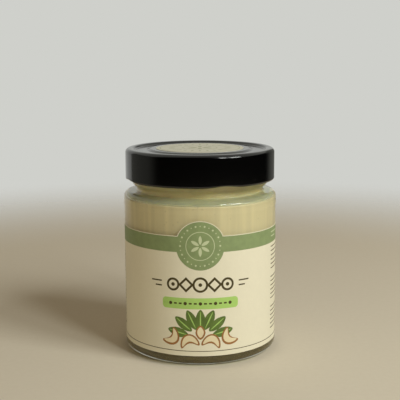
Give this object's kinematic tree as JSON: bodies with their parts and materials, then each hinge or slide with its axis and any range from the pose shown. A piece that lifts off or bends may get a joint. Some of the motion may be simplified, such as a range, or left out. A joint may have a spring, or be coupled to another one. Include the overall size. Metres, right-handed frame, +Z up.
{
  "type": "cashew butter jar",
  "caption": "Straight-sided glass jar of cashew paste with a short neck, a twist-off metal lid, a wrap label with a round tab and a round label on the lid.",
  "frame": {"origin": "centre of the base, on the surface the jar stands on", "axes": "+Z up along the jar's axis, -Y towards the front of the label"},
  "size_m": [0.07, 0.07, 0.093],
  "materials": {
    "jar_glass": "clear container glass",
    "cashew_butter": "smooth oily nut paste",
    "cap": "gloss black lacquer",
    "cap_seal": "matt sealing compound",
    "wrap_label": "matt coated paper",
    "cap_label": "matt coated paper"
  },
  "bodies": {
    "root": {"jar_glass": "jar_glass", "cashew_butter": "cashew_butter", "cap": "cap", "cap_seal": "cap_seal", "wrap_label": "wrap_label", "cap_label": "cap_label"}
  },
  "joints": []
}
